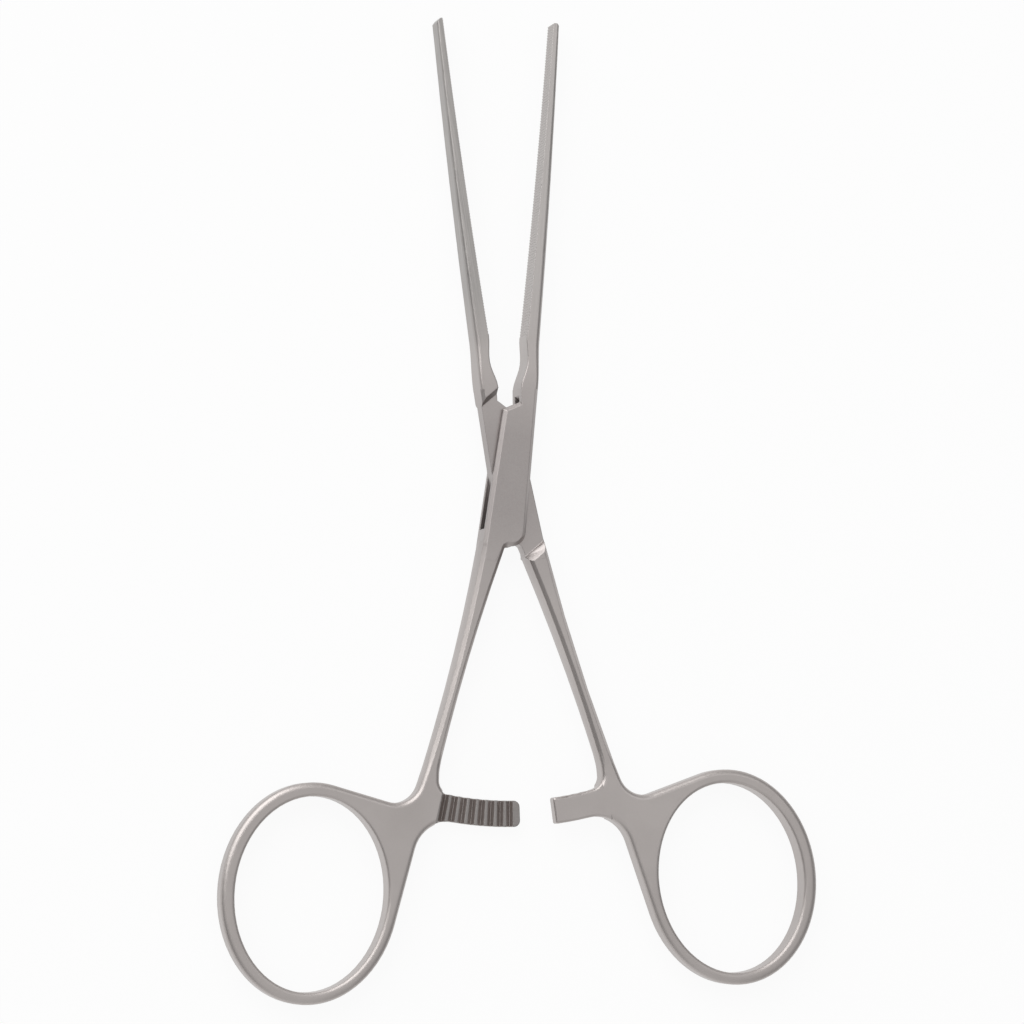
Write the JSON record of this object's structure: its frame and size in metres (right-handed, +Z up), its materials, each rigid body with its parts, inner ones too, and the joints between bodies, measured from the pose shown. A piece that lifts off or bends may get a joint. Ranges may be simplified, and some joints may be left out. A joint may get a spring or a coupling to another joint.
{
  "type": "bulldog clamp",
  "caption": "Ring-handled bulldog clamp: two slim serrated jaws cross at a box lock on one pin, with finger rings and ratchet racks that hold it shut.",
  "frame": {"origin": "on the pivot's axis, in the plane of the box lock's underside", "axes": "+Z up along the pivot, +Y from the pivot towards the jaw tips, +X to the right seen from above"},
  "size_m": [0.0778, 0.1235, 0.004],
  "materials": {
    "satin_steel": "satin, glass-bead blasted stainless steel",
    "pin_steel": "ground flush with the box and blasted with it"
  },
  "bodies": {
    "box_body": {"box_half": "satin_steel", "pivot_pin": "pin_steel"},
    "tongue_body": {"tongue_half": "satin_steel"}
  },
  "joints": [
    {"name": "jaw_hinge", "type": "hinge", "parent": "box_body", "child": "tongue_body", "pos_m": [0, 0, 0.002], "axis": [0, 0, 1], "range_deg": [-14.2, 46]}
  ]
}
